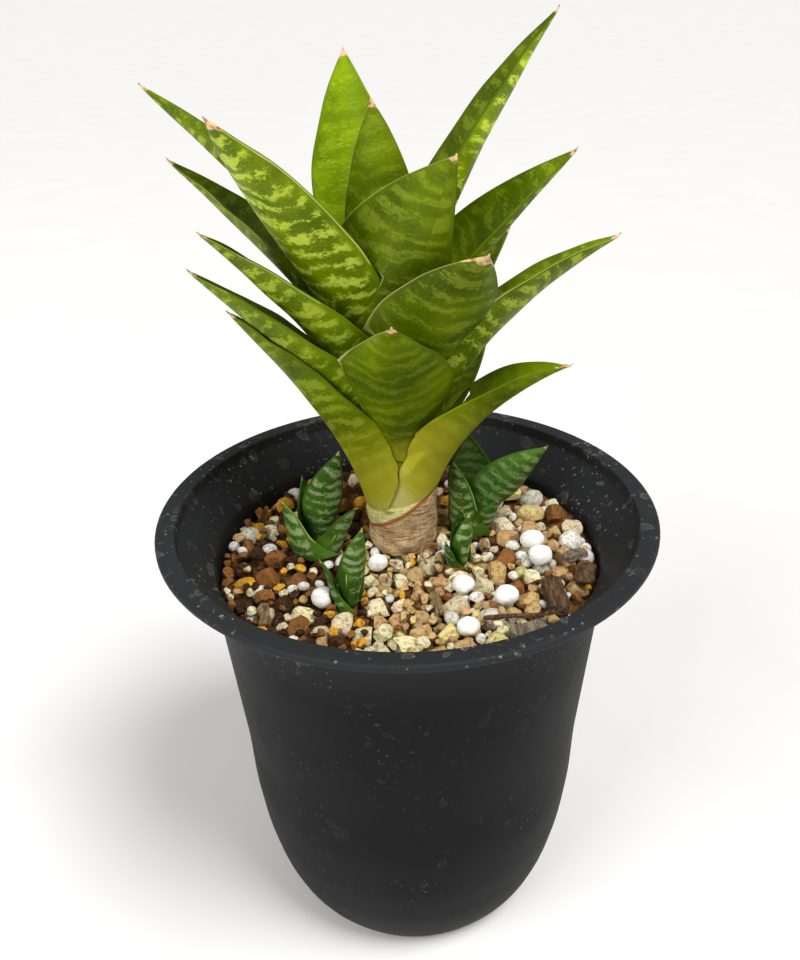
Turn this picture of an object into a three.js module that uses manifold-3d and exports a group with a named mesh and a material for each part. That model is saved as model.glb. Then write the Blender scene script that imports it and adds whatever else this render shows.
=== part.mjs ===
// Potted snake plant: a young Sansevieria with a spreading rosette and four offsets,
// growing in coarse grit in a black nursery pot.
// Millimetres, +Z up. The origin is the centre of the pot's underside, and -Y is the front.

import * as THREE from "three";
import { mergeVertices } from "three/addons/utils/BufferGeometryUtils.js";
import Module from "manifold-3d";

const wasm = await Module();
wasm.setup();

// ---------------------------------------------------------------- driving dimensions

const gap = 0.35; // clearance between pieces that touch
const tiny = 0.01; // two heights closer than this are the same height

const pot = {
  height: 117,
  rimRadius: 60,
  rimWidth: 4.6, // the flat ring that a hand lifts the pot by
  rimThickness: 2,
  rimRounding: 0.5,
  stepDepth: 2.6, // the small step just inside the ring
  stepWidth: 0.4,
  collarFlare: 11.4, // how far the collar spreads from the shoulder out to the rim
  collarWall: 0.9, // at the top of the collar, under the ring
  shoulderDepth: 10.5,
  taper: 4.8, // how much the body narrows from the shoulder down to the waist
  waistHeight: 56, // where the taper ends and the underside rounds in
  footRadius: 28,
  footWidth: 3.5,
  footHeight: 2.5, // the floor is lifted this much above the table
  notchWidth: 13,
  notches: 4,
  firstNotch: -75, // degrees
  wall: 1.3,
  floor: 1.6,
  centreHole: 5,
  drainHole: 3.5,
  drainHoles: 8,
  drainCircle: 15,
};

const mix = {
  depth: 12.5, // from the rim down to the grit at the middle of the pot
  tiltX: 0.03,
  tiltY: 0.05,
  dishX: 0.0005, // per mm: the grit was pushed up against the wall
  dishY: 0.001,
  bump: 0.35,
  dip: 8, // the surface nowhere lies this far below its middle
  rings: 4,
  margin: 4, // the middle of a loose piece stays this far from the wall
};

const stem = {
  x: -1,
  y: 9,
  buried: 9,
  radius: 6.8,
  tipRadius: 2.4,
  height: 56,
  bud: 1.5, // height of the pointed end, inside the youngest leaf
  rootShare: 0.7, // the buried end narrows to this share
  rings: 7,
  leanX: -0.05, // the shoot leans a little to the left as it rises
};

// The dry remains of the lowest leaves, a papery collar round the foot of the stem.
const sheath = {
  clearance: 0.7,
  wall: 1.3,
  height: 8.6,
  bedded: 3,
  pinch: 0.6, // how much narrower it is at its foot and at its lip
};

const blade = {
  thickness: 1.9, // at the keel of a full-sized leaf
  margin: 0.5, // thickness of the leaf's edge
  tip: 0.5, // half width of the hard point
  baseHandle: 0.38, // how far the leaf holds its first direction, as a share of its length
  tipHandle: 0.34,
  opened: 0.6, // by this share of its length the leaf no longer clasps the stem
  roll: 2.2, // the narrow end stays channelled: its sides roll up as it narrows
  crowding: 1.15, // sections stand closer together towards the tip
  hollow: 0.9, // a tight channel closes to this share of its own radius
};

// An offset's leaves are nested in one another, this far apart as a share of their thickness.
const nesting = { heart: 0.6, share: 0.8 };

// Leaves of the rosette, lowest first. faces: compass direction of the outer face at the base,
// in degrees from +X. attach: height of the base above the foot of the stem. tip: where the
// leaf ends, from the foot of the stem. width: half the width of the flattened blade.
// fold: half angle of the channel. curl: how much flatter the leaf lies at its tip.
// peak: where the leaf is widest. full: 1 is a straight taper, 2 is a rounded one.
// bow: how far the middle of the leaf bends sideways.
const rosette = [
  { faces: 203, attach: 9, tip: [-37, -9, 62], width: 16, fold: 54, clasp: 122, full: 1.7 },
  { faces: -22, attach: 9.6, tip: [39, -7, 47], width: 16.5, fold: 62, clasp: 122, curl: 24 },
  { faces: 100, attach: 12, tip: [-6, 36, 50], width: 14, fold: 52 },
  { faces: -94, attach: 20, tip: [-1, -33, 66], width: 16.5, fold: 48, full: 1.7, peak: 0.42 },
  { faces: 204, attach: 18, tip: [-44, -11, 72], width: 16.5, fold: 52 },
  { faces: 62, attach: 15, tip: [23, 26, 44], width: 12, fold: 55 },
  { faces: -80, attach: 25, tip: [18, -29, 79], width: 16, fold: 46, full: 2.3, peak: 0.48 },
  { faces: -20, attach: 22, tip: [48, -5, 76], width: 19, fold: 50, full: 1.6, curl: 18 },
  { faces: 140, attach: 26, tip: [-28, 30, 66], width: 13, fold: 55 },
  { faces: 210, attach: 28, tip: [-40, -15, 81], width: 17, fold: 46, full: 2 },
  { faces: 38, attach: 31, tip: [27, 18, 72], width: 13, fold: 55 },
  { faces: -104, attach: 33, tip: [12, -25, 97], width: 16.5, fold: 44, full: 2, bow: [-8, -2] },
  { faces: 175, attach: 35, tip: [-50, 11, 91], width: 13, fold: 55 },
  { faces: 224, attach: 37, tip: [-34, -29, 105], width: 16.5, fold: 46, full: 2.8, bow: [-3, 0] },
  { faces: 12, attach: 40, tip: [38, -5, 94], width: 14.5, fold: 55 },
  { faces: 75, attach: 42, tip: [4, 26, 78], width: 12, fold: 52 },
  { faces: 180, attach: 45, tip: [-53, 7, 107], width: 13, fold: 54 },
  { faces: 2, attach: 48, tip: [34, 3, 120], width: 16, fold: 56, full: 1.6 },
  { faces: 82, attach: 50, tip: [-10, 17, 112], width: 12.5, fold: 42, full: 1.9, bow: [-4, 0] },
  { faces: -95, attach: 52, tip: [-4, -1, 104], width: 10.5, fold: 52, full: 1.9, rise: 4 },
];

// The four offsets, each a small rosette with its foot on the grit.
const offsets = {
  offset_left: {
    x: -22.5, y: 6, thickness: 1.4,
    leaves: [
      { faces: 215, attach: -3, tip: [-8, -3, 12.5], width: 6.4, fold: 48 },
      { faces: -35, attach: -3, tip: [10, -1, 9], width: 6, fold: 42 },
      { faces: 135, attach: -2.5, tip: [-3.5, 5, 15], width: 4.2, fold: 45 },
      { faces: 70, attach: -2, tip: [3, 3, 17.5], width: 4.5, fold: 50 },
      { faces: -80, attach: -1.5, tip: [6.5, -2, 25], width: 6.6, fold: 50, full: 1.5 },
    ],
  },
  offset_front: {
    x: -13.5, y: -18, thickness: 1.1,
    leaves: [
      { faces: 190, attach: -3, tip: [-6.5, -1, 10.5], width: 2.8, fold: 55 },
      { faces: 125, attach: -2.5, tip: [2, 3, 13.5], width: 5, fold: 38 },
      { faces: -60, attach: -2, tip: [3.5, -2, 19], width: 5, fold: 55 },
    ],
  },
  offset_right: {
    x: 17, y: 12, thickness: 1.4,
    leaves: [
      { faces: 218, attach: -3, tip: [-5, -4, 18], width: 6.5, fold: 48 },
      { faces: -50, attach: -3, tip: [6, -5, 8], width: 5.5, fold: 50 },
      { faces: -68, attach: -2.5, tip: [18, 0, 20], width: 9, fold: 42, curl: 12 },
      { faces: 80, attach: -2, tip: [-1, 5, 22], width: 7.5, fold: 40, full: 2 },
    ],
  },
  offset_small: {
    x: 13, y: -3.5, thickness: 1,
    leaves: [
      { faces: 200, attach: -3, tip: [-4, -3, 5.5], width: 3.6, fold: 50 },
      { faces: 100, attach: -2.5, tip: [0, 0, 13], width: 3.2, fold: 50 },
      { faces: -60, attach: -2, tip: [2, -0.5, 11.5], width: 3.8, fold: 55 },
    ],
  },
};

// ---------------------------------------------------------------- materials

const colours = {
  pot: [0x1b1c1f, 0.55],
  mix: [0x8a5f3a, 0.95],
  stem: [0xb9b86a, 0.6],
  sheath: [0xb08a63, 0.85],
  leaf: [0x6f9a2c, 0.45],
  offset: [0x3f7a3c, 0.5],
  pumice: [0xf0efe8, 0.9],
  bark: [0x4a3a2c, 0.9],
  litter: [0x8c7a63, 0.95],
};

function material(kind) {
  const [color, roughness] = colours[kind];
  return new THREE.MeshStandardMaterial({ color, roughness, metalness: 0 });
}

// ---------------------------------------------------------------- solids

const { degToRad, lerp, smoothstep } = THREE.MathUtils;

function solid(geometry) {
  const bare = geometry.clone();
  bare.deleteAttribute("normal");
  bare.deleteAttribute("uv");
  const merged = mergeVertices(bare, 1e-4);
  return new wasm.Manifold(
    new wasm.Mesh({
      numProp: 3,
      vertProperties: merged.attributes.position.array,
      triVerts: new Uint32Array(merged.index.array),
    }),
  );
}

function geometryOf(body) {
  const { vertProperties, triVerts } = body.getMesh();
  const geometry = new THREE.BufferGeometry();
  geometry.setAttribute("position", new THREE.BufferAttribute(vertProperties, 3));
  geometry.setIndex(new THREE.BufferAttribute(triVerts, 1));
  return geometry;
}

// A cut can leave slivers behind, so only the largest piece is kept.
function largest(body) {
  return body.decompose().reduce((a, b) => (a.volume() > b.volume() ? a : b));
}

function lathe(points, segments) {
  const profile = points.map(([r, z]) => new THREE.Vector2(r, z));
  return new THREE.LatheGeometry(profile, segments).rotateX(Math.PI / 2);
}

const group = new THREE.Group();

function add(name, geometry, kind, parent = group) {
  const mesh = new THREE.Mesh(geometry, material(kind));
  mesh.name = name;
  parent.add(mesh);
  return mesh;
}

// Points of a quarter ellipse from (r0, z0) to (r1, z1); it leaves (r1, z1) upright.
function quarter(r0, z0, r1, z1, steps) {
  return Array.from({ length: steps + 1 }, (_, i) => {
    const a = (i / steps) * (Math.PI / 2);
    return [r0 + (r1 - r0) * Math.sin(a), z1 + (z0 - z1) * Math.cos(a)];
  });
}

// ---------------------------------------------------------------- pot

const shoulderHeight = pot.height - pot.shoulderDepth;
const shoulderRadius = pot.rimRadius - pot.collarFlare;
const waistRadius = shoulderRadius - pot.taper;
const ringInner = pot.rimRadius - pot.rimWidth;
const stepHeight = pot.height - pot.stepDepth;
const floorTop = pot.footHeight + pot.floor;

// Inside radius of the pot, as a profile from the floor up to the step under the ring.
const innerWall = [
  ...quarter(pot.footRadius - pot.wall, floorTop, waistRadius - pot.wall, pot.waistHeight, 5),
  [shoulderRadius - pot.wall, shoulderHeight],
  [ringInner - pot.stepWidth, stepHeight],
];

function innerRadius(z) {
  const above = innerWall.findIndex((point) => point[1] > z);
  if (above < 1) return innerWall[above === 0 ? 0 : innerWall.length - 1][0];
  const [r0, z0] = innerWall[above - 1];
  const [r1, z1] = innerWall[above];
  return lerp(r0, r1, (z - z0) / (z1 - z0));
}

function makePot() {
  const rimUnder = pot.height - pot.rimThickness;
  const { rimRadius, rimRounding } = pot;
  const profile = [
    [0, pot.footHeight],
    [pot.footRadius - pot.footWidth, pot.footHeight],
    [pot.footRadius - pot.footWidth, 0],
    ...quarter(pot.footRadius, 0, waistRadius, pot.waistHeight, 6),
    [shoulderRadius, shoulderHeight],
    [ringInner + pot.collarWall, rimUnder],
    [rimRadius - rimRounding, rimUnder],
    [rimRadius, rimUnder + rimRounding],
    [rimRadius, pot.height - rimRounding],
    [rimRadius - rimRounding, pot.height],
    [ringInner, pot.height],
    ...innerWall.toReversed(),
    [0, floorTop],
  ];
  let body = solid(lathe(profile, 40));

  const hole = (radius, x, y) => {
    const drill = new THREE.CylinderGeometry(radius, radius, 4 * pot.floor, 10);
    return solid(drill.rotateX(Math.PI / 2).translate(x, y, pot.footHeight + pot.floor / 2));
  };
  body = body.subtract(hole(pot.centreHole, 0, 0));
  for (let i = 0; i < pot.drainHoles; i++) {
    const a = (2 * Math.PI * (i + 0.5)) / pot.drainHoles;
    const [x, y] = [pot.drainCircle * Math.cos(a), pot.drainCircle * Math.sin(a)];
    body = body.subtract(hole(pot.drainHole, x, y));
  }

  // Notches let the water out under the foot ring.
  const start = pot.drainCircle + pot.drainHole;
  for (let i = 0; i < pot.notches; i++) {
    const cutter = new THREE.BoxGeometry(waistRadius - start, pot.notchWidth, 2 * pot.footHeight);
    cutter.translate((start + waistRadius) / 2, 0, 0);
    cutter.rotateZ(degToRad(pot.firstNotch + (360 * i) / pot.notches));
    body = body.subtract(solid(cutter));
  }
  add("pot", geometryOf(body), "pot");
}

// ---------------------------------------------------------------- leaves

function stemRadius(height) {
  return lerp(stem.radius, stem.tipRadius, smoothstep(height, sheath.height, stem.height));
}

// The closed surface of one channelled leaf. Its midline is the keel, on the outer face, and
// each section is an arc round the keel. grow makes the leaf bigger by that much on every side.
function leafGeometry(leaf, hub, { thickness, steps, across }, grow) {
  const { faces, attach, tip, width, fold } = leaf;
  const { clasp = 100, peak = 0.42, full = 1.7, curl = 8, rise = 12, bow = [0, 0] } = leaf;
  const out = new THREE.Vector3(Math.cos(degToRad(faces)), Math.sin(degToRad(faces)), 0);
  const up = new THREE.Vector3(0, 0, 1);
  const side = new THREE.Vector3().crossVectors(up, out);

  const start = out.clone().multiplyScalar(hub).setZ(attach);
  start.x += stem.leanX * attach;
  const end = new THREE.Vector3(...tip);
  const chord = end.clone().sub(start);
  const away = chord.clone().setZ(0).normalize();
  const lean = Math.atan2(Math.hypot(chord.x, chord.y), chord.z);
  const leaning = (direction, angle) =>
    direction.clone().multiplyScalar(Math.sin(angle)).addScaledVector(up, Math.cos(angle));
  const reach = chord.length();
  const bend = new THREE.Vector3(bow[0], bow[1], 0);
  const midline = new THREE.CubicBezierCurve3(
    start,
    start.clone().addScaledVector(leaning(out, degToRad(rise)), blade.baseHandle * reach).add(bend),
    end.clone().addScaledVector(leaning(away, lean + degToRad(curl)), -blade.tipHandle * reach).add(bend),
    end,
  );

  const claspAngle = degToRad(clasp);
  const baseWidth = hub * claspAngle;
  const halfWidth = (s) => {
    if (s < peak) return lerp(baseWidth, width, smoothstep(s, 0, peak));
    const past = (s - peak) / (1 - peak);
    return lerp(blade.tip, width, 1 - past ** full);
  };
  const halfAngle = (s) => {
    const least = halfWidth(s) / (blade.roll * width);
    return Math.max(lerp(claspAngle, degToRad(fold), smoothstep(s, 0, blade.opened)), least);
  };

  const rows = [];
  for (let i = 0; i <= steps; i++) {
    const s = 1 - (1 - i / steps) ** blade.crowding;
    const keel = midline.getPoint(s);
    const along = midline.getTangent(s);
    if (i === 0) keel.addScaledVector(along, -grow);
    if (i === steps) keel.addScaledVector(along, grow);
    const b = side.clone().addScaledVector(along, -side.dot(along)).normalize();
    const n = new THREE.Vector3().crossVectors(b, along);
    const half = halfWidth(s);
    const wrap = halfAngle(s);
    const rho = half / wrap;
    const spread = wrap + grow / rho;
    const point = (q, inset) => {
      const a = q * spread;
      return keel
        .clone()
        .addScaledVector(b, (rho - inset) * Math.sin(a))
        .addScaledVector(n, (rho - inset) * Math.cos(a) - rho);
    };
    const thick = lerp(thickness, blade.margin, s ** 2);
    const outer = [];
    const inner = [];
    for (let j = 0; j <= across; j++) {
      const q = (2 * j) / across - 1;
      const depth = lerp(thick, blade.margin, Math.abs(q) ** 2);
      outer.push(point(q, -grow));
      inner.push(point(q, Math.min(depth, blade.hollow * rho) + grow));
    }
    rows.push([...outer, ...inner.reverse()]);
  }

  const ring = rows[0].length;
  const positions = rows.flat().flatMap((p) => [p.x, p.y, p.z]);
  const index = [];
  for (let i = 0; i < steps; i++)
    for (let j = 0; j < ring; j++) {
      const k = (j + 1) % ring;
      const [a, b, c, d] = [i * ring + j, i * ring + k, (i + 1) * ring + k, (i + 1) * ring + j];
      index.push(a, b, c, a, c, d);
    }
  for (let j = 0; j < across; j++) {
    const [o, p, q, r] = [j, j + 1, ring - 2 - j, ring - 1 - j];
    const top = steps * ring;
    index.push(o, q, p, o, r, q);
    index.push(top + o, top + p, top + q, top + o, top + q, top + r);
  }
  const geometry = new THREE.BufferGeometry();
  geometry.setAttribute("position", new THREE.Float32BufferAttribute(positions, 3));
  geometry.setIndex(index);
  return geometry;
}

// Everything already in place, each a little larger than it is, so that what comes later
// is cut back to leave the clearance.
const occupied = [];

function overlapping(a, b) {
  const [p, q] = [a.boundingBox(), b.boundingBox()];
  return [0, 1, 2].every((i) => p.min[i] < q.max[i] && q.min[i] < p.max[i]);
}

function fitted(body) {
  const near = occupied.filter((other) => overlapping(body, other));
  return near.length ? largest(near.reduce((left, other) => left.subtract(other), body)) : body;
}

const mixLevel = pot.height - mix.depth;
const mixRadius = innerRadius(mixLevel);

function mixHeight(x, y) {
  const wave = Math.sin(0.21 * x + 1) * Math.cos(0.17 * y) + Math.sin(0.33 * y - 0.24 * x);
  const slope = mix.tiltX * x + mix.tiltY * y + mix.dishX * x * x + mix.dishY * y * y;
  return mixLevel + slope + mix.bump * wave;
}

function makeStem() {
  const foot = mixHeight(stem.x, stem.y);
  const profile = (grow) => {
    const points = [
      [0, -stem.buried - grow],
      [stem.radius * stem.rootShare + grow, -stem.buried - grow],
    ];
    for (let i = 0; i <= stem.rings; i++) {
      const height = (stem.height * i) / stem.rings;
      points.push([stemRadius(height) + grow, height]);
    }
    points.at(-1)[1] += grow;
    points.push([0, stem.height + stem.bud + grow]);
    const shear = new THREE.Matrix4().makeShear(0, 0, 0, 0, stem.leanX, 0);
    return solid(lathe(points, 12).applyMatrix4(shear).translate(stem.x, stem.y, foot));
  };
  add("stem", geometryOf(profile(0)), "stem");
  occupied.push(profile(gap));

  const inner = stem.radius + sheath.clearance;
  const collar = (grow) => {
    const outer = inner + sheath.wall + grow;
    const points = [
      [inner, -sheath.bedded],
      [outer - sheath.pinch, -sheath.bedded],
      [outer, 0.2 * sheath.height],
      [outer - sheath.pinch / 2, 0.5 * sheath.height],
      [outer, 0.8 * sheath.height],
      [outer - sheath.pinch, sheath.height],
      [inner, sheath.height],
      [inner, -sheath.bedded],
    ];
    return solid(lathe(points, 16).translate(stem.x, stem.y, foot));
  };
  add("basal_sheath", geometryOf(collar(0)), "sheath");
  occupied.push(collar(gap));
}

// Leaves are laid from the youngest, at the middle, to the oldest, outside.
function makeRosette(name, leaves, x, y, hubAt, mesh, kind) {
  const foot = mixHeight(x, y);
  const made = leaves.map(() => null);
  for (let i = leaves.length - 1; i >= 0; i--) {
    const hub = hubAt(leaves[i], i);
    const shape = (grow) =>
      solid(leafGeometry(leaves[i], hub, mesh, grow).translate(x, y, foot));
    made[i] = fitted(shape(0));
    occupied.push(shape(gap));
  }
  made.forEach((body, i) => {
    const number = String(i + 1).padStart(2, "0");
    add(`${name}_${number}`, geometryOf(body), kind);
  });
}

function makePlants() {
  const leafHub = ({ attach }) => stemRadius(attach) + gap + blade.thickness;
  const leafMesh = { thickness: blade.thickness, steps: 7, across: 6 };
  makeRosette("leaf", rosette, stem.x, stem.y, leafHub, leafMesh, "leaf");
  for (const [name, { x, y, thickness, leaves }] of Object.entries(offsets)) {
    const layer = nesting.share * (thickness + gap);
    const hub = (leaf, i) => nesting.heart + (leaves.length - i) * layer;
    makeRosette(`${name}_leaf`, leaves, x, y, hub, { thickness, steps: 5, across: 4 }, "offset");
  }
}

// ---------------------------------------------------------------- litter on the grit

// Places each piece on the grit, turned by its angle and sunk so that it beds in. at gives its
// place from the middle of the pot; 1 is as near the wall as a piece may lie.
function lay(name, shape, { at, turn = 0, tilt = 0, sink = 0 }, kind) {
  const [x, y] = at.map((share) => share * (mixRadius - mix.margin));
  const placed = (grow) => {
    const geometry = shape(grow).rotateX(degToRad(tilt)).rotateZ(degToRad(turn));
    return solid(geometry.translate(x, y, mixHeight(x, y) - sink));
  };
  add(name, geometryOf(fitted(placed(0))), kind);
  occupied.push(placed(gap));
}

// A pebble is a little longer than wide, and its middle stands proud of the grit by a share.
const pebbleShape = { long: 1.08, wide: 0.95, proud: 0.55 };

function pebble({ radius, flat }) {
  const { long, wide, proud } = pebbleShape;
  return (grow) => {
    const ball = new THREE.IcosahedronGeometry(radius, 1);
    const share = (radius + grow) / radius;
    return ball.scale(long * share, wide * share, flat * share).translate(0, 0, proud * radius);
  };
}

// A chip has a ragged outline: a box with its corners and long sides knocked in.
function chip({ length, width, thick }) {
  return (grow) => {
    const [l, w] = [length / 2 + grow, width / 2 + grow];
    const corners = [
      [-l, -0.5 * w], [-0.7 * l, -w], [0.1 * l, -0.8 * w], [0.9 * l, -w],
      [l, 0.2 * w], [0.6 * l, w], [-0.2 * l, 0.75 * w], [-0.85 * l, w],
    ];
    const outline = new THREE.Shape(corners.map(([px, py]) => new THREE.Vector2(px, py)));
    const depth = thick + 2 * grow;
    return new THREE.ExtrudeGeometry(outline, { depth, bevelEnabled: false }).translate(0, 0, -grow);
  };
}

// A strand follows points given from its own place, in millimetres above the grit there.
function strand({ points, radius }) {
  return (grow) => {
    const path = new THREE.CatmullRomCurve3(points.map((p) => new THREE.Vector3(...p)));
    const around = [0, 1, 2, 3, 4, 5].map((i) => (i * Math.PI) / 3);
    const corner = (a) => new THREE.Vector2(Math.cos(a), Math.sin(a)).multiplyScalar(radius + grow);
    const section = new THREE.Shape(around.map(corner));
    const steps = 3 * (points.length - 1);
    return new THREE.ExtrudeGeometry(section, { steps, bevelEnabled: false, extrudePath: path });
  };
}

const pumice = [
  { at: [-0.464, -0.418], radius: 2.8, flat: 0.9 },
  { at: [-0.167, -0.116], radius: 2.4, flat: 0.95 },
  { at: [0.719, 0.012], radius: 3, flat: 0.85 },
  { at: [0.742, -0.155], radius: 2.9, flat: 0.9 },
  { at: [0.522, -0.499], radius: 2.8, flat: 0.9 },
  { at: [0.302, -0.360], radius: 2.6, flat: 0.85 },
  { at: [0.302, -0.731], radius: 2.7, flat: 0.8, turn: 20 },
];

const chips = {
  bark_chip_long: { at: [0.777, -0.510], turn: 95, length: 13, width: 5, thick: 3.2, sink: 1 },
  bark_chip_flat: { at: [0.603, -0.800], turn: 12, length: 9, width: 4.4, thick: 1.4, sink: 0.4 },
  bark_chip_grey: { at: [0.928, -0.174], turn: 30, length: 6, width: 4.6, thick: 1.6, sink: 0.2, tilt: -18 },
};

const scraps = {
  dry_scrap_right: { at: [0.963, -0.336], turn: 75, length: 8, width: 5, thick: 0.9, sink: -0.2 },
  dry_scrap_left: { at: [-0.765, -0.557], turn: 100, length: 8.5, width: 3, thick: 0.8, sink: 0.1 },
  dry_scrap_curled: { at: [0.153, -0.510], turn: 97, length: 9, width: 2.4, thick: 0.8, sink: 0 },
};

const strands = {
  twig: {
    at: [0.545, -0.691], radius: 0.6, sink: 0,
    points: [[-7, 0, 0.8], [-1, 0.3, 1], [6.5, -0.2, 1.3]],
  },
  aerial_root: {
    at: [0.093, -0.035], radius: 0.35, sink: 0,
    points: [[3.6, 2.6, 1.2], [0.5, 2.8, 1], [-0.6, -0.8, 0.6], [0.6, -4.6, 0.2]],
  },
};

function makeLitter() {
  for (const [name, item] of Object.entries(strands)) lay(name, strand(item), item, "litter");
  pumice.forEach((item, i) => {
    lay(`pumice_${i + 1}`, pebble(item), { sink: 0.3 * item.radius, ...item }, "pumice");
  });
  for (const [name, item] of Object.entries(chips)) lay(name, chip(item), item, "bark");
  for (const [name, item] of Object.entries(scraps)) lay(name, chip(item), item, "litter");
}

// ---------------------------------------------------------------- grit

// The grit is one body: it fills the pot, heaps up a little at the wall, and gives way
// round everything that stands in it or lies on it.
function makeMix() {
  const profile = [[0, floorTop], ...innerWall.filter((point) => point[1] < mixLevel - mix.dip)];
  for (let i = mix.rings; i >= 0; i--) profile.push([(mixRadius * i) / mix.rings, mixLevel]);
  const heap = lathe(profile, 26);
  const position = heap.attributes.position;
  for (let i = 0; i < position.count; i++) {
    let [x, y, z] = [position.getX(i), position.getY(i), position.getZ(i)];
    if (z > mixLevel - tiny) z = mixHeight(x, y);
    if (z < floorTop + tiny) z += gap;
    const radius = Math.hypot(x, y);
    const most = innerRadius(z) - gap;
    const share = radius > most ? most / radius : 1;
    position.setXYZ(i, x * share, y * share, z);
  }
  add("potting_mix", geometryOf(fitted(solid(heap))), "mix");
}

makePot();
makeStem();
makePlants();
makeLitter();
makeMix();

export default group;
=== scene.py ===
# %% [markdown]
# # A potted snake plant
#
# This script builds the look of a young snake plant in a black nursery pot. The sizes and
# places come from a CAD model, which is loaded first and stays as a fixed frame. Each
# cell makes one piece or one finish, and a short text before it says what the piece is, how
# it could be made, and why this way was chosen. All lengths are in metres.

# %% Load the CAD model
import math
import random

import bpy
import numpy as np
from mathutils import Matrix, Vector, noise
from mathutils.bvhtree import BVHTree


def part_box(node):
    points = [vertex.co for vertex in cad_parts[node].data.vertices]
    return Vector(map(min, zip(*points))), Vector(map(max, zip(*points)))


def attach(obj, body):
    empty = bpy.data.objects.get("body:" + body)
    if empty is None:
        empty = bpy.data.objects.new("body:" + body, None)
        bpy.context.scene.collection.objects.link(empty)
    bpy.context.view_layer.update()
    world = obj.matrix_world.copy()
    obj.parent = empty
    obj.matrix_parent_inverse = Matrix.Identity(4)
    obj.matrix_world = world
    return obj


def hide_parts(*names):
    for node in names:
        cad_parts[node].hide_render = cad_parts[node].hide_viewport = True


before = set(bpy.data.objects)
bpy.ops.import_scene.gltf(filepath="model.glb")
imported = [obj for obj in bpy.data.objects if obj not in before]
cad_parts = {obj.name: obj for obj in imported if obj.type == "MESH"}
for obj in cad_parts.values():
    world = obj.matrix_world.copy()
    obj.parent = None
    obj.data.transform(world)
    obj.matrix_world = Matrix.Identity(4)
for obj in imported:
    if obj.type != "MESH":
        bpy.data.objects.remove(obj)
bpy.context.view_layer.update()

MM = 0.001

# %% [markdown]
# ## Helpers for pieces
#
# An operator works on everything that is selected, so each step starts with an empty
# selection. A CAD node is never changed. A copy of it has its loose triangles merged,
# because they only touch and don't share corners yet, and the copy is then shaped.

# %% Helpers for pieces
def only(piece):
    """Make one object the active and the only selected one."""
    bpy.ops.object.select_all(action="DESELECT")
    bpy.context.view_layer.objects.active = piece
    piece.select_set(True)
    return piece


def new_piece(name):
    """Name the primitive that has just been added, and select nothing else."""
    piece = bpy.context.object
    piece.name = name
    piece.data.name = name
    return only(piece)


def merged_copy(node, name):
    """A copy of a CAD node with its corners merged."""
    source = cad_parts[node]
    piece = bpy.data.objects.new(name, source.data.copy())
    bpy.context.scene.collection.objects.link(piece)
    piece.data.materials.clear()
    only(piece)
    bpy.ops.object.mode_set(mode="EDIT")
    bpy.ops.mesh.select_all(action="SELECT")
    bpy.ops.mesh.remove_doubles(threshold=0.01 * MM)
    bpy.ops.object.mode_set(mode="OBJECT")
    return piece


def edit(piece, mode="VERT"):
    """Enter edit mode with nothing selected."""
    only(piece)
    bpy.ops.object.mode_set(mode="EDIT")
    bpy.ops.mesh.select_mode(type=mode)
    bpy.ops.mesh.select_all(action="DESELECT")
    bpy.ops.object.mode_set(mode="OBJECT")


def apply_modifier(piece, kind, **settings):
    """Add a modifier with its settings, and apply it at once."""
    only(piece)
    modifier = piece.modifiers.new(kind.title(), kind)
    for key, value in settings.items():
        setattr(modifier, key, value)
    bpy.ops.object.modifier_apply(modifier=modifier.name)


def smooth_finely(piece, levels):
    apply_modifier(piece, "SUBSURF", levels=levels, render_levels=levels)


def corners(piece):
    """The corners of a mesh as an array with a row for each."""
    found = np.empty(3 * len(piece.data.vertices), np.float32)
    piece.data.vertices.foreach_get("co", found)
    return found.reshape(-1, 3).astype(np.float64)


def corner_normals(piece):
    found = np.empty(3 * len(piece.data.vertices), np.float32)
    piece.data.vertex_normals.foreach_get("vector", found)
    return found.reshape(-1, 3).astype(np.float64)


def move_corners(piece, places):
    piece.data.vertices.foreach_set("co", places.astype(np.float32).ravel())
    piece.data.update()


def store(piece, name, values):
    """Keep a number for each corner, for the material to read."""
    layer = piece.data.attributes.get(name) or piece.data.attributes.new(name, "FLOAT", "POINT")
    layer.data.foreach_set("value", np.asarray(values, np.float32))


def attribute(piece, name):
    """The numbers that store has kept."""
    found = np.empty(len(piece.data.vertices), np.float32)
    piece.data.attributes[name].data.foreach_get("value", found)
    return found.astype(np.float64)


def ripple(places, wavelength, seed):
    """Soft three-dimensional noise between about -1 and 1 at each place."""
    start = Vector((seed * 7.1, seed * 3.3, seed * 5.7))
    return np.array([noise.noise(Vector(p) / wavelength + start) for p in places])


def finish_piece(piece, material, slot, *nodes, angle=None):
    """Give a piece its material and body, and hide the CAD nodes that it stands for. The slot is
    not used.
    """
    only(piece)
    if angle is None:
        bpy.ops.object.shade_smooth()
    else:
        bpy.ops.object.shade_smooth_by_angle(angle=math.radians(angle))
    piece.data.materials.clear()
    piece.data.materials.append(material)
    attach(piece, "root")
    if nodes:
        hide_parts(*nodes)
    return piece


# %% [markdown]
# ## Helpers for finishes
#
# A material is a tree of small nodes. Written out link by link it is long and hard to
# follow, so this class adds a node, sets its inputs and returns its output in one line,
# and a finish then reads from top to bottom like a recipe. Numbers and sockets can both be
# given as inputs. Places are read in millimetres, so a scale of 1 is one feature per mm.

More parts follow.
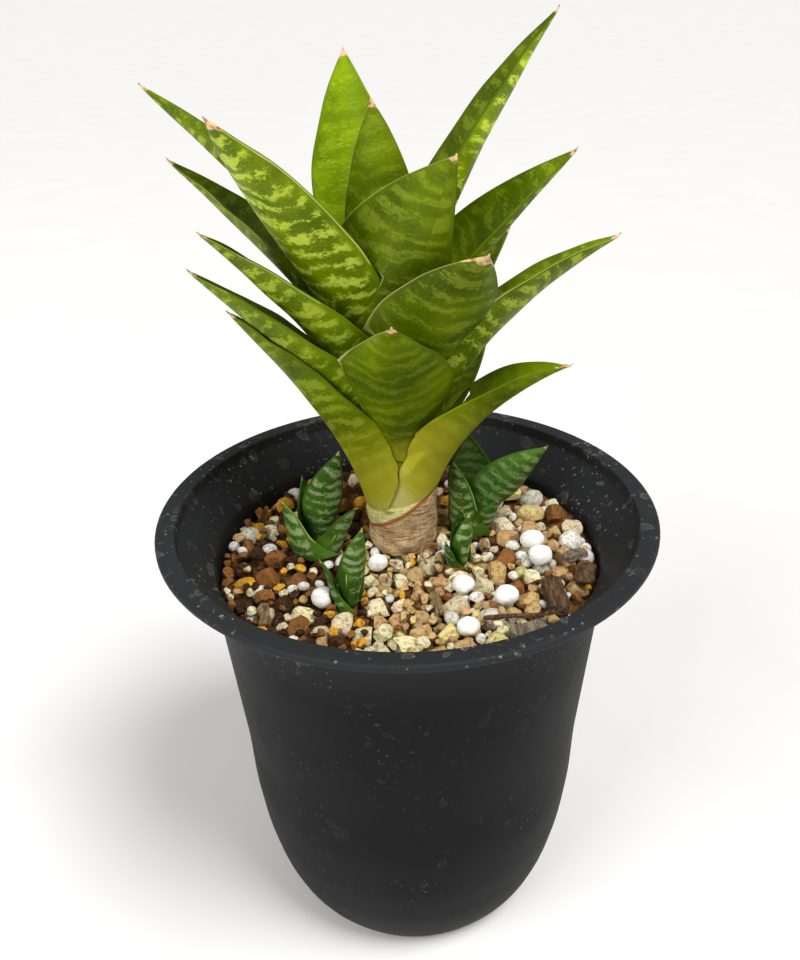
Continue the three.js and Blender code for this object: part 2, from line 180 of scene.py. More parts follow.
# %% Helpers for finishes
class Finish:
    def __init__(self, name, **sockets):
        self.material = bpy.data.materials.new(name)
        self.material.use_nodes = True
        self.nodes = self.material.node_tree.nodes
        self.links = self.material.node_tree.links
        self.shader = self.nodes["Principled BSDF"]
        for key, value in sockets.items():
            self.shader.inputs[key.replace("_", " ")].default_value = value

    def give(self, socket, value):
        if isinstance(value, bpy.types.NodeSocket):
            self.links.new(value, socket)
        elif isinstance(value, tuple) and len(value) == 3 and socket.type == "RGBA":
            socket.default_value = (*value, 1)
        else:
            socket.default_value = value

    def add(self, kind, *inputs, **settings):
        node = self.nodes.new("ShaderNode" + kind)
        for key, value in settings.items():
            setattr(node, key, value)
        for socket, value in zip(node.inputs, inputs):
            if value is not None:
                self.give(socket, value)
        return node

    def place(self, stretch=(1, 1, 1)):
        """The place on the object in mm, stretched."""
        where = self.add("TexCoord").outputs["Object"]
        scale = tuple(s / MM for s in stretch)
        return self.add("Mapping", where, None, None, scale).outputs[0]

    def sheet(self, stretch=(1, 1, 1)):
        """The place on the piece's own unrolled surface in mm, stretched."""
        where = self.add("UVMap", uv_map="blade").outputs[0]
        scale = tuple(s / MM for s in stretch)
        return self.add("Mapping", where, None, None, scale).outputs[0]

    def value(self, name):
        return self.add("Attribute", attribute_name=name).outputs["Fac"]

    def colour(self, name):
        return self.add("Attribute", attribute_name=name).outputs["Color"]

    def noise(self, where, scale, detail=2.0, rough=0.5):
        node = self.add("TexNoise", where)
        for key, value in (("Scale", scale), ("Detail", detail), ("Roughness", rough)):
            node.inputs[key].default_value = value
        return node.outputs[0]

    def spots(self, where, scale):
        """Distance from the nearest of many scattered points."""
        node = self.add("TexVoronoi", where)
        node.inputs["Scale"].default_value = scale
        return node.outputs["Distance"]

    def math(self, operation, first, second=0.0):
        return self.add("Math", first, second, operation=operation).outputs[0]

    def step(self, value, low, high, soft="SMOOTHSTEP"):
        """0 below low, 1 above high, and smooth between them."""
        node = self.add("MapRange", interpolation_type=soft)
        settings = (("Value", value), ("From Min", low), ("From Max", high))
        for key, amount in settings:
            self.give(node.inputs[key], amount)
        return node.outputs[0]

    def blend(self, share, first, second, how="MIX"):
        """The first colour where share is 0, the second where it is 1."""
        node = self.add("Mix", data_type="RGBA", blend_type=how)
        self.give(node.inputs["Factor"], share)
        self.give(node.inputs[6], first)
        self.give(node.inputs[7], second)
        return node.outputs[2]

    def between(self, share, first, second):
        """The first number where share is 0, the second where it is 1."""
        node = self.add("MapRange", share)
        node.inputs["To Min"].default_value = first
        node.inputs["To Max"].default_value = second
        return node.outputs[0]

    def paint(self, colour):
        self.give(self.shader.inputs["Base Color"], colour)

    def gloss(self, roughness):
        self.give(self.shader.inputs["Roughness"], roughness)

    def relief(self, height, depth_mm, strength=1.0):
        bump = self.add("Bump")
        bump.inputs["Strength"].default_value = strength
        bump.inputs["Distance"].default_value = depth_mm * MM
        self.links.new(height, bump.inputs["Height"])
        before = self.shader.inputs["Normal"].links
        if before:
            self.links.new(before[0].from_socket, bump.inputs["Normal"])
        self.links.new(bump.outputs[0], self.shader.inputs["Normal"])


def tint(red, green, blue):
    """A colour as a painter's chart gives it, from 0 to 255, in linear light."""
    shares = (red / 255, green / 255, blue / 255)
    return tuple(s / 12.92 if s <= 0.04045 else ((s + 0.055) / 1.055) ** 2.4 for s in shares)


# %% [markdown]
# ## Camera
#
# The pot is looked at from the front and from about 30 degrees above, from a short
# distance, which is how a person holds a phone over a small plant. A short distance makes
# the top of the plant look larger than the foot of the pot, so the distance matters more
# than the lens. The camera's place and turn are plain values.

# %% Camera
camera_data = bpy.data.cameras.new("camera")
camera = bpy.data.objects.new("camera", camera_data)
bpy.context.scene.collection.objects.link(camera)
camera.location = (0, -0.20955, 0.23922)
camera.rotation_euler = [math.radians(a) for a in (61.327, 1.399, -0.398)]
camera_data.sensor_fit = "VERTICAL"
camera_data.sensor_height = 36
camera_data.lens = 37.5
camera_data.clip_start = 0.005
bpy.context.scene.camera = camera
print("camera stands", round(camera.location.length * 1000), "mm from the foot of the pot")

# %% [markdown]
# ## Light and floor
#
# The leaves are a little glossy, so a small lamp would put hard white spots on them. A
# broad sun from above and to the right gives soft-edged shadows, and lights the floor as
# evenly far away as near, which lamps don't. A wide lamp at the left opens the shadows,
# and a pale world fills the rest. The floor is a plain pale disc that reaches the horizon.

# %% Light and floor
def lamp(name, kind, place, power, **settings):
    data = bpy.data.lights.new(name, kind)
    data.energy = power
    for key, value in settings.items():
        setattr(data, key, value)
    piece = bpy.data.objects.new(name, data)
    piece.location = place
    toward = Vector((0, 0, 0.14)) - Vector(place)
    piece.rotation_euler = toward.to_track_quat("-Z", "Y").to_euler()
    bpy.context.scene.collection.objects.link(piece)


lamp("sun", "SUN", (0.45, -0.35, 1.1), 2.6, angle=math.radians(28))
lamp("left_window", "AREA", (-0.5, -0.5, 0.6), 4, size=0.5)

world = bpy.data.worlds.new("studio")
bpy.context.scene.world = world
world.use_nodes = True
world.node_tree.nodes["Background"].inputs["Color"].default_value = (1, 1, 1, 1)
world.node_tree.nodes["Background"].inputs["Strength"].default_value = 0.42
bpy.context.scene.view_settings.view_transform = "Standard"

bpy.ops.object.select_all(action="DESELECT")
bpy.ops.mesh.primitive_circle_add(vertices=64, radius=80, fill_type="NGON")
floor = new_piece("floor")
floor_finish = Finish("pale_floor", Roughness=0.9, Specular_IOR_Level=0.2)
grain = floor_finish.noise(floor_finish.place(), 0.02)
floor_finish.paint(floor_finish.blend(grain, tint(232, 231, 228), tint(238, 237, 234)))
floor.data.materials.append(floor_finish.material)

# %% [markdown]
# ## Pot finish
#
# The pot is moulded from black plastic with a dull sheen. Hard water has dried on it and
# left pale grey spots and thin rings, most of all on the rim. The pot is also painted a
# little lighter from the collar up to the rim, which is painted light from above. The spots
# are scattered points, cut to a small radius and broken up with noise. Black plastic is
# never quite black, or its form would be lost.

# %% Pot finish
def make_pot_finish():
    f = Finish("black_plastic", Specular_IOR_Level=0.1)
    where = f.place()
    cloud = f.noise(where, 0.05, 3)
    body = f.blend(cloud, tint(8, 8, 10), tint(16, 16, 18))
    height = f.add("SeparateXYZ", where).outputs[2]
    near_rim = f.step(height, 92.0, 113.0)  # Rises from the collar to the rim, in mm.

    # Water spots: scattered points, each cut to its own radius and only where water dried.
    patches = f.noise(where, 0.05, 3)
    wet = f.step(patches, f.between(near_rim, 0.46, 0.3), 0.62)
    small = f.math("MULTIPLY", f.step(f.noise(where, 0.7, 1), 0.45, 0.7), 0.33)
    dots = f.step(f.math("SUBTRACT", small, f.spots(where, 0.62)), 0.0, 0.1)
    large = f.math("MULTIPLY", f.step(f.noise(where, 0.2, 1), 0.42, 0.66), 0.42)
    inner = f.math("SUBTRACT", large, f.spots(where, 0.2))
    hollow = f.between(f.step(inner, 0.02, 0.14), 1.0, 0.3)
    blots = f.math("MULTIPLY", f.step(inner, 0.0, 0.06), hollow)
    dots = f.math("MULTIPLY", f.math("MULTIPLY", dots, wet), 0.6)
    blots = f.math("MULTIPLY", f.math("MULTIPLY", blots, wet), 0.28)
    marks = f.step(f.noise(where, 0.45, 5, 0.8), 0.57, 0.72)
    scuffs = f.math("MULTIPLY", f.math("MULTIPLY", marks, f.step(patches, 0.4, 0.62)), 0.45)
    lime = f.math("MAXIMUM", f.math("MAXIMUM", dots, blots), scuffs)
    lime = f.math("MULTIPLY", lime, f.between(near_rim, 0.16, 1.0))
    # Painted light: the pot is made lighter from the collar up to the rim, where more light falls.
    painted_rim_light = f.blend(f.math("MULTIPLY", near_rim, 0.11), body, tint(112, 114, 116))
    f.paint(f.blend(lime, painted_rim_light, tint(158, 158, 152)))

    f.gloss(f.between(f.math("MAXIMUM", lime, f.math("MULTIPLY", cloud, 0.6)), 0.45, 0.8))
    f.relief(f.noise(where, 2.4, 2), 0.05, 0.3)
    f.relief(f.noise(where, 0.12, 1), 0.4, 0.15)
    return f.material


pot_finish = make_pot_finish()

# %% [markdown]
# ## Pot
#
# The pot is round, so it could be a cylinder pushed into shape ring by ring. It is quicker
# to start from its wall. A cut through the CAD pot along a plane through its axis gives
# the outline of the wall. One half of that outline, spun round the axis, is the whole pot
# again with a finer surface, and rounding the outline's corners first rounds
# every edge of the pot at once.

# %% Wall of the pot
def pot_section():
    """The outline of the wall, cut along a plane that misses the holes and notches."""
    piece = merged_copy("pot", "pot_body")
    turn = math.radians(45)
    edit(piece)
    bpy.ops.object.mode_set(mode="EDIT")
    bpy.ops.mesh.select_all(action="SELECT")
    across = (-math.sin(turn), math.cos(turn), 0)
    bpy.ops.mesh.bisect(plane_co=(0, 0, 0), plane_no=across, clear_inner=True, clear_outer=True)
    bpy.ops.mesh.select_all(action="SELECT")
    bpy.ops.mesh.bisect(
        plane_co=(0, 0, 0), plane_no=(math.cos(turn), math.sin(turn), 0), clear_inner=True
    )
    bpy.ops.mesh.select_all(action="SELECT")
    bpy.ops.mesh.remove_doubles(threshold=0.05 * MM)
    bpy.ops.mesh.dissolve_limited(angle_limit=math.radians(0.5))
    bpy.ops.object.mode_set(mode="OBJECT")
    return piece


def round_corners(piece, low, high, width):
    """Round the outline's corners whose height is between low and high."""
    edit(piece)
    places = corners(piece)
    chosen = (places[:, 2] > low) & (places[:, 2] < high)
    piece.data.vertices.foreach_set("select", chosen)
    bpy.ops.object.mode_set(mode="EDIT")
    bpy.ops.mesh.bevel(affect="VERTICES", offset=width, segments=4)
    bpy.ops.object.mode_set(mode="OBJECT")


pot = pot_section()
print("the wall's outline has", len(pot.data.vertices), "corners")
# The heights in mm between which corners are rounded, and how far: body, collar and rim.
for low, high, width in ((5, 90, 3.2), (104, 108, 1.0), (112, 118, 0.22)):
    round_corners(pot, low * MM, high * MM, width * MM)
only(pot)
bpy.ops.object.mode_set(mode="EDIT")
bpy.ops.mesh.select_all(action="SELECT")
bpy.ops.mesh.spin(steps=120, angle=2 * math.pi, center=(0, 0, 0), axis=(0, 0, 1))
bpy.ops.mesh.select_all(action="SELECT")
bpy.ops.mesh.remove_doubles(threshold=0.01 * MM)
bpy.ops.mesh.normals_make_consistent(inside=False)
bpy.ops.object.mode_set(mode="OBJECT")
print("the spun wall has", len(pot.data.polygons), "faces")

# %% [markdown]
# ## Notches and drain holes
#
# The foot ring has four notches that let water run away, and the floor has a ring of
# holes. Faces could be deleted and their borders joined again, which is slow on a round
# surface. A block or a short cylinder, taken away with a boolean modifier, leaves a clean
# opening whatever the faces under it are. The block's edges are beveled first, so that the
# notch has rounded corners.

# %% Notches and drain holes
def cut(piece, cutter):
    apply_modifier(piece, "BOOLEAN", operation="DIFFERENCE", object=cutter, solver="EXACT")
    bpy.data.objects.remove(cutter)


foot_height = 2.5 * MM
foot_radius = 31 * MM
notch_size = (25 * MM, 13 * MM, 2 * foot_height)
for turn in (-75, 15, 105, 195):
    a = math.radians(turn)
    place = (foot_radius * math.cos(a), foot_radius * math.sin(a), 0)
    bpy.ops.object.select_all(action="DESELECT")
    bpy.ops.mesh.primitive_cube_add(size=1, location=place, rotation=(0, 0, a))
    notch = new_piece("notch")
    notch.scale = notch_size
    apply_modifier(notch, "BEVEL", width=0.06, segments=3)
    cut(pot, notch)
drain_holes, drain_ring, drain_radius = 8, 15 * MM, 3.5 * MM
for i in range(drain_holes):
    a = 2 * math.pi * (i + 0.5) / drain_holes
    place = (drain_ring * math.cos(a), drain_ring * math.sin(a), foot_height)
    bpy.ops.object.select_all(action="DESELECT")
    bpy.ops.mesh.primitive_cylinder_add(
        vertices=32, radius=drain_radius, depth=8 * MM, location=place
    )
    cut(pot, new_piece("drain_hole"))
finish_piece(pot, pot_finish, "pot", "pot", angle=35)
print("the pot has", len(pot.data.polygons), "faces")

# %% [markdown]
# ## Grit bed
#
# Under the loose grains the pot is full of the same grit. Nobody sees that, so it is one
# solid: a copy of the CAD grit with its upper surface let down by the depth of the grains.
# Its finish is the dark dust that lies between them.

# %% Grit bed
grit_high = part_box("potting_mix")[1]
grain_bed = 5.0 * MM


def make_bed_finish():
    f = Finish("grit_dust", Roughness=0.95, Specular_IOR_Level=0.2)
    where = f.place()
    coarse = f.noise(where, 0.5, 4, 0.7)
    f.paint(f.blend(f.step(coarse, 0.35, 0.7), tint(64, 38, 18), tint(150, 106, 62)))
    f.relief(coarse, 1.2, 0.8)
    return f.material


bed = merged_copy("potting_mix", "grit_bed")
edit(bed, "FACE")
for face in bed.data.polygons:
    face.select = face.normal.z > 0.5 and face.center.z > grit_high.z - 20 * MM
bpy.ops.object.mode_set(mode="EDIT")
bpy.ops.mesh.subdivide(number_cuts=2)
bpy.ops.transform.translate(value=(0, 0, -grain_bed))
bpy.ops.object.mode_set(mode="OBJECT")
finish_piece(bed, make_bed_finish(), "grit", "potting_mix", angle=30)

# %% [markdown]
# ## Grain shapes
#
# The grains are baked clay, pumice and chipped stone, 2 to 6 mm across. A stone that has
# been chipped has flat faces that meet at blunt edges, so a ball is added and slices are
# taken off it with a few random planes. A dozen such stones, turned and stretched, never
# look alike. There will be hundreds, so each keeps to a few dozen faces.

# %% Grain shapes
chance = random.Random(31)


def chipped_stone(name, slices, depth):
    """A ball one unit across the middle with a few slices taken off."""
    bpy.ops.object.select_all(action="DESELECT")
    bpy.ops.mesh.primitive_ico_sphere_add(subdivisions=2, radius=1)
    piece = new_piece(name)
    bpy.ops.object.mode_set(mode="EDIT")
    for _ in range(slices):
        away = Vector([chance.gauss(0, 1) for _ in range(3)]).normalized()
        bpy.ops.mesh.select_all(action="SELECT")
        bpy.ops.mesh.bisect(
            plane_co=away * chance.uniform(depth, 0.92), plane_no=away,
            clear_outer=True, use_fill=True,
        )
    bpy.ops.mesh.select_all(action="SELECT")
    bpy.ops.mesh.remove_doubles(threshold=0.12)
    bpy.ops.object.mode_set(mode="OBJECT")
    return piece


shapes = {
    "clay": [chipped_stone(f"clay_shape_{i}", 12, 0.42) for i in range(9)],
    "pumice": [chipped_stone(f"pumice_shape_{i}", 3, 0.75) for i in range(5)],
    "stone": [chipped_stone(f"stone_shape_{i}", 11, 0.45) for i in range(8)],
}
print({kind: [len(s.data.polygons) for s in row] for kind, row in shapes.items()})

# %% [markdown]
# ## Where the grains lie
#
# Grains could be dropped with a physics simulation, which takes minutes. Here each grain is
# set down one by one on a map that holds the height of the heap at every point.
# The map is made first. Rays find the grit's surface and the plants and larger things that
# stand on it, and these are marked, so that no grain goes through them.

# %% Map of the grit
cell = 0.4 * MM
half_cells = 122
hole_depth = 6 * MM  # Where the grit's surface lies this far down, a plant stands in it.
wall_band = 6 * MM  # The wall is measured this far over and under the grit's highest point.
axis_cells = (np.arange(2 * half_cells + 1) - half_cells) * cell
east, north = np.meshgrid(axis_cells, axis_cells, indexing="ij")


def tree_of(*nodes):
    """All the triangles of some CAD nodes, ready for rays."""
    places, faces = [], []
    for node in nodes:
        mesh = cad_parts[node].data
        start = len(places)
        places += [v.co.copy() for v in mesh.vertices]
        faces += [[start + k for k in face.vertices] for face in mesh.polygons]
    return BVHTree.FromPolygons(places, faces)


grit_tree = tree_of("potting_mix")
things_tree = tree_of(*[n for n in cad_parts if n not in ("pot", "potting_mix")])
wall = corners(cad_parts["pot"])
wall = wall[np.abs(wall[:, 2] - grit_high.z) < wall_band]
wall_radius = np.hypot(wall[:, 0], wall[:, 1]).min() - 1.0 * MM

inside = np.hypot(east, north) < wall_radius
seen = np.full(east.shape, np.nan)
for i, j in np.argwhere(inside):
    hit = grit_tree.ray_cast(Vector((axis_cells[i], axis_cells[j], 0.14)), Vector((0, 0, -1)))[0]
    seen[i, j] = hit.z if hit else np.nan

# The surface without the holes round the plants: a gently curved sheet through most of it.
terms = np.stack([np.ones_like(east), east, north, east**2, north**2], -1)
good = inside & np.isfinite(seen) & (seen > np.nanmedian(seen) - 3 * MM)
fit = np.linalg.lstsq(terms[good], seen[good], rcond=None)[0]
level = terms @ fit

ceiling = np.full(east.shape, np.inf)
for i, j in np.argwhere(inside):
    start = Vector((axis_cells[i], axis_cells[j], level[i, j] - hole_depth))
    hit = things_tree.ray_cast(start, Vector((0, 0, 1)), 0.05)[0]
    if hit:
        ceiling[i, j] = hit.z
ceiling[seen < level - hole_depth] = -np.inf
ceiling[~inside] = -np.inf
print("grit level", round(float(level[inside].mean()) / MM, 1), "mm")
print("wall at", round(wall_radius / MM, 1), "mm")

# %% [markdown]
# ## Pouring the grains
#
# A new grain tries several places, finds how far it would fall at each, and stays in the
# lowest. The map then rises by its shape. The large grains go first and the small ones
# fill the hollows between them, as they do when a pot is filled and tapped.

# %% Pouring the grains
def set_down(heights, reach, rise, place):
    """How high a grain's middle lies at this place, or None if something is in its way."""
    i, j = (int(round(v / cell)) + half_cells for v in place)
    n = int(reach / cell)
    window = (slice(i - n, i + n + 1), slice(j - n, j + n + 1))
    away = (axis_cells[window[0]][:, None] - place[0]) ** 2
    away = away + (axis_cells[window[1]][None, :] - place[1]) ** 2
    under = away < reach**2
    dome = rise * np.sqrt(np.clip(1 - away / reach**2, 0, 1))
    middle = (heights[window] + dome)[under].max()
    if (middle + dome > ceiling[window])[under].any():
        return None
    return middle, window, under, dome


def pour(count, small, large, proud):
    """Lay grains until no place is low enough. Returns (x, y, z, reach, rise) of each."""
    most_misses, tries = 60, 14
    laid = []
    misses = 0
    while len(laid) < count and misses < most_misses:
        reach = chance.uniform(small, large) * MM
        rise = reach * chance.uniform(0.72, 0.95)
        best = None
        for _ in range(tries):
            turn = chance.uniform(0, 2 * math.pi)
            out = math.sqrt(chance.random()) * (wall_radius - reach)
            place = (out * math.cos(turn), out * math.sin(turn))
            found = set_down(heap, reach, rise, place)
            if found and (best is None or found[0] < best[0][0]):
                best = (found, place)
        if best is None:
            misses += 1
            continue
        (middle, window, under, dome), place = best
        i, j = (int(round(v / cell)) + half_cells for v in place)
        if middle + rise > level[i, j] + proud * MM:
            misses += 1
            continue
        misses = 0
        heap[window] = np.where(under, np.maximum(heap[window], middle + dome * 0.9), heap[window])
        laid.append((*place, middle, reach, rise))
    return laid


heap = level - grain_bed
# The most grains, their smallest and largest radius in mm, and how far they may stand proud.
large_grains = (700, 2.1, 3.4, 1.0)
small_grains = (700, 1.0, 1.8, 0.6)
grains = pour(*large_grains) + pour(*small_grains)
print(len(grains), "grains")

# %% [markdown]
# ## Grain colours
#
# The mix isn't even. On the left it has been watered and is mostly dark clay with orange
# and cream grains. At the front it is dry, light brown clay with pale pumice, and on the
# right there is more white pumice. Each grain draws its kind from the shares of its region,
# and keeps its own shade as a colour attribute, so that one material serves them all.

# %% Grain colours
kinds = {
    "dark": ("clay", tint(64, 36, 8)),
    "brown": ("clay", tint(142, 92, 44)),
    "tan": ("clay", tint(208, 172, 116)),
    "orange": ("clay", tint(226, 166, 46)),
    "cream": ("stone", tint(244, 232, 188)),
    "yellow": ("stone", tint(232, 218, 142)),
    "white": ("pumice", tint(246, 243, 232)),
    "grey": ("stone", tint(150, 138, 114)),
}
regions = {
    "wet": {"dark": 33, "brown": 23, "orange": 15, "cream": 13, "white": 10, "tan": 6},
    "dry": {"tan": 52, "brown": 7, "cream": 33, "yellow": 3, "white": 4, "orange": 1},
    "pale": {"tan": 36, "brown": 12, "cream": 24, "yellow": 4, "white": 19, "orange": 2, "grey": 3},
}


def region_of(x, y):
    """The part of the pot that a grain lies in, with a ragged border."""
    drift = 9 * noise.noise(Vector((x, y, 0)) / (9 * MM))
    east_mm, north_mm = x / MM + drift, y / MM + drift
    if east_mm < -10 or (north_mm > 12 and east_mm < 14):
        return "wet"
    return "pale" if east_mm > 12 else "dry"


def scatter(laid):
    """Copies of the stone shapes at their places, joined by the kind of stone."""
    made = {kind: [] for kind in shapes}
    for x, y, z, reach, rise in laid:
        shares = regions[region_of(x, y)]
        colour_name = chance.choices(list(shares), list(shares.values()))[0]
        kind, colour = kinds[colour_name]
        shape = chance.choice(shapes[kind])
        piece = shape.copy()
        piece.data = shape.data.copy()
        bpy.context.scene.collection.objects.link(piece)
        turn = [chance.uniform(0, 2 * math.pi) for _ in range(3)]
        spin = Matrix.Rotation(turn[0], 4, "X") @ Matrix.Rotation(turn[1], 4, "Y")
        size = Matrix.Diagonal((1.2 * reach, reach * chance.uniform(0.82, 1.1), 1.12 * rise, 1))
        heading = Matrix.Rotation(turn[2], 4, "Z")
        piece.data.transform(Matrix.Translation((x, y, z)) @ heading @ size @ spin)
        shade = chance.uniform(0.8, 1.2)
        layer = piece.data.color_attributes.new("stone_colour", "FLOAT_COLOR", "POINT")
        shaded = [min(1, c * shade * chance.uniform(0.95, 1.05)) for c in colour]
        layer.data.foreach_set("color", [*shaded, 1.0] * len(piece.data.vertices))
        made[kind].append(piece)
    joined = []
    for kind, row in made.items():
        bpy.ops.object.select_all(action="DESELECT")
        for piece in row:
            piece.select_set(True)
        bpy.context.view_layer.objects.active = row[0]
        bpy.ops.object.join()
        row[0].name = f"grains_{kind}"
        joined.append(row[0])
    return joined


def make_grain_finish(name, pores, roughness):
    f = Finish(name, Roughness=roughness, Specular_IOR_Level=0.25)
    where = f.place()
    own = f.colour("stone_colour")
    mottle = f.noise(where, 0.9, 4, 0.65)
    darker = f.blend(f.step(mottle, 0.3, 0.55), tint(176, 160, 140), (1.0, 1.0, 1.0))
    dusted = f.blend(1.0, own, darker, "MULTIPLY")
    dust = f.math("MULTIPLY", f.step(f.noise(where, 2.6, 3), 0.55, 0.75), 0.25)
    f.paint(f.blend(dust, dusted, tint(226, 200, 160)))
    f.relief(f.noise(where, pores, 4, 0.75), 0.8, 0.8)
    return f.material


grain_finishes = {
    "clay": make_grain_finish("baked_clay", 1.4, 0.88),
    "pumice": make_grain_finish("pumice_grain", 2.2, 0.92),
    "stone": make_grain_finish("pale_stone", 1.6, 0.8),
}
for piece in scatter(grains):
    finish_piece(piece, grain_finishes[piece.name.split("_")[1]], "grit", angle=28)
for row in shapes.values():
    for shape in row:
        bpy.data.objects.remove(shape)

# %% [markdown]
# ## Leaf finish
#
# A leaf of this plant is bright green with broken, pale bands across it. The outer face
# is banded strongly and the hollow inner face is plainer. The edge is a thin cream line
# with a darker line beside it, the tip is a dry brown point, and the foot of the leaf
# fades to yellow and cream. It could be painted by hand on an image for each leaf. Here it
# is a recipe, so that twenty leaves differ without twenty images. All of it follows the
# leaf, not the room, so each leaf carries a flat map of its own surface, and its
# distances from the edge, tip and foot.

# %% Leaf finish
def make_leaf_finish(name, greens, pale, band_length, strength, fade):
    """greens: dark and light of the outer face, then of the inner face. fade: how far up
    from the foot, in mm, the cream and the yellow reach, and where the edge line starts."""
    cream_reach, yellow_reach, line_start = fade
    f = Finish(name, Specular_IOR_Level=0.1)
    sheet = f.sheet()
    outer = f.value("outer")
    edge = f.value("edge")
    tip = f.value("from_tip")
    foot = f.value("from_foot")

    cloud = f.noise(sheet, 0.07, 4, 0.6)
    outside = f.blend(f.step(cloud, 0.3, 0.7), greens[0], greens[1])
    inside = f.blend(f.step(cloud, 0.3, 0.7), greens[2], greens[3])
    green = f.blend(outer, inside, outside)

    # Bands: even stripes across the leaf, bent a little by one noise, frayed by a finer one
    # and thinned out in places by a broad one.
    parts = f.add("SeparateXYZ", sheet).outputs
    bend = f.math("MULTIPLY", f.noise(f.sheet((0.11, 0.09, 1)), 1.0, 3), 2.6 * band_length)
    phase = f.math("MULTIPLY", f.math("ADD", parts[1], bend), 2 * math.pi / band_length)
    wave = f.math("MULTIPLY", f.math("SINE", phase), 0.2)
    fray = f.math("MULTIPLY", f.noise(f.sheet((0.75, 1.3, 1)), 1.0, 5, 0.75), 1.7)
    broad = f.noise(f.sheet((0.16, 0.11, 1)), 1.0, 2)
    sum_of = f.math("ADD", f.math("ADD", wave, fray), broad)
    marks = f.step(sum_of, 1.33, 1.6)
    plain_edge = f.step(edge, 0.88, 0.5)
    where_banded = f.math("MULTIPLY", f.between(outer, 0.4, 1.0), plain_edge)
    marks = f.math("MULTIPLY", f.math("MULTIPLY", marks, f.value("banding")), where_banded)
    shade = f.math("MULTIPLY", f.step(wave, 0.1, -0.18), 0.25)
    green = f.blend(f.math("MULTIPLY", shade, where_banded), green, greens[0])
    green = f.blend(f.math("MULTIPLY", marks, strength), green, pale)

    # Fine pale specks lie between the bands, thickest where the bands are thin.
    speck_shapes = f.step(f.noise(f.sheet((1.3, 2.0, 1)), 1.0, 4, 0.8), 0.53, 0.66)
    where_fine = f.step(f.noise(sheet, 0.12, 2), 0.35, 0.6)
    specks = f.math("MULTIPLY", f.math("MULTIPLY", speck_shapes, where_fine), plain_edge)
    green = f.blend(f.math("MULTIPLY", specks, 0.38), green, pale)

    # Fine lines run from the foot to the tip.
    lines = f.noise(f.sheet((2.6, 0.05, 1)), 1.0, 2)
    green = f.blend(f.math("MULTIPLY", f.step(lines, 0.5, 0.8), 0.2), green, greens[0])

    # The foot: green, then yellow, then cream where it clasps the stem.
    uneven = f.math("ADD", foot, f.math("MULTIPLY", f.noise(sheet, 0.25, 2), 0.3 * yellow_reach))
    yellow = f.math("SUBTRACT", 1.0, f.step(uneven, 0.3 * yellow_reach, yellow_reach))
    cream = f.math("SUBTRACT", 1.0, f.step(uneven, 0.1 * cream_reach, cream_reach))
    green = f.blend(f.math("MULTIPLY", yellow, 0.85), green, tint(198, 192, 62))
    green = f.blend(f.math("MULTIPLY", cream, 0.85), green, tint(220, 214, 156))

    # The edge: a dark line, and a thin cream one on the very edge. Then the dry tip.
    away = f.step(foot, line_start, 1.5 * line_start)
    beside = f.math("MULTIPLY", f.step(edge, 0.86, 0.95), 0.45)
    green = f.blend(f.math("MULTIPLY", beside, away), green, greens[2])
    line = f.math("MULTIPLY", f.step(f.value("margin"), 0.9, 0.985), f.between(cloud, 0.4, 1.0))
    green = f.blend(f.math("MULTIPLY", line, away), green, tint(206, 206, 124))
    along_edge = f.between(f.step(edge, 0.7, 0.95), 1.0, 2.2)
    dry = f.math("SUBTRACT", f.math("MULTIPLY", f.value("dry"), along_edge), tip)
    dry = f.math("ADD", dry, f.math("MULTIPLY", f.noise(sheet, 0.8, 2), 1.2))
    bleached = f.step(f.noise(sheet, 0.9, 3), 0.3, 0.58)
    burnt = f.blend(bleached, tint(138, 84, 34), tint(222, 192, 140))
    # The tone attribute sets the value: painted light and shade on the twenty leaves, a random tone
    # on the offsets.
    own = f.add("HueSaturation", None, 1.03, f.value("tone"), None, green).outputs[0]
    own = f.blend(f.step(dry, 0.3, 1.2), own, burnt)

    # The husk: the torn lower end of the two outermost leaves is papery, and an
    # orange-brown scar runs along its upper border.
    husk = f.math("ADD", f.value("husk"), f.math("MULTIPLY", f.noise(sheet, 0.5, 3), 0.9))
    papery = f.blend(f.step(lines, 0.35, 0.65), tint(188, 152, 96), tint(226, 210, 166))
    own = f.blend(f.step(husk, 2.4, 3.1), own, papery)
    scar = f.math("MULTIPLY", f.step(husk, 1.7, 2.3), f.step(husk, 3.3, 2.7))
    f.paint(f.blend(f.math("MULTIPLY", scar, 0.9), own, tint(150, 72, 14)))

    rough = f.between(marks, 0.42, 0.55)
    f.gloss(f.math("ADD", rough, f.math("MULTIPLY", f.noise(sheet, 0.8, 3), 0.14)))
    f.relief(lines, 0.25, 0.3)
    f.relief(f.noise(sheet, 1.6, 3), 0.12, 0.25)
    f.relief(f.noise(sheet, 0.16, 1), 0.8, 0.2)
    return f.material


leaf_finish = make_leaf_finish(
    "leaf_skin",
    (tint(74, 94, 0), tint(122, 144, 0), tint(74, 98, 0), tint(118, 140, 0)),
    tint(188, 204, 80), 4.3, 0.82, (9.5, 24, 17),
)
offset_finish = make_leaf_finish(
    "offset_skin",
    (tint(40, 74, 18), tint(84, 118, 40), tint(40, 74, 18), tint(84, 118, 40)),
    tint(176, 196, 140), 2.8, 0.68, (0.5, 1, 6),
)

# %% [markdown]
# ## Leaves
#
# Each leaf is a thick channel that clasps the stem at its foot and ends in a hard point.
# A leaf could be drawn out of a plane and given a thickness, but twenty leaves that nest
# in one another would soon cut through their neighbours. The CAD leaves already
# nest, so a copy of each is used as the cage of a subdivision surface. The two edges of the
# blade are creased first, or they would swell into a round lip, and a slight waviness is
# added to the fine surface afterwards.

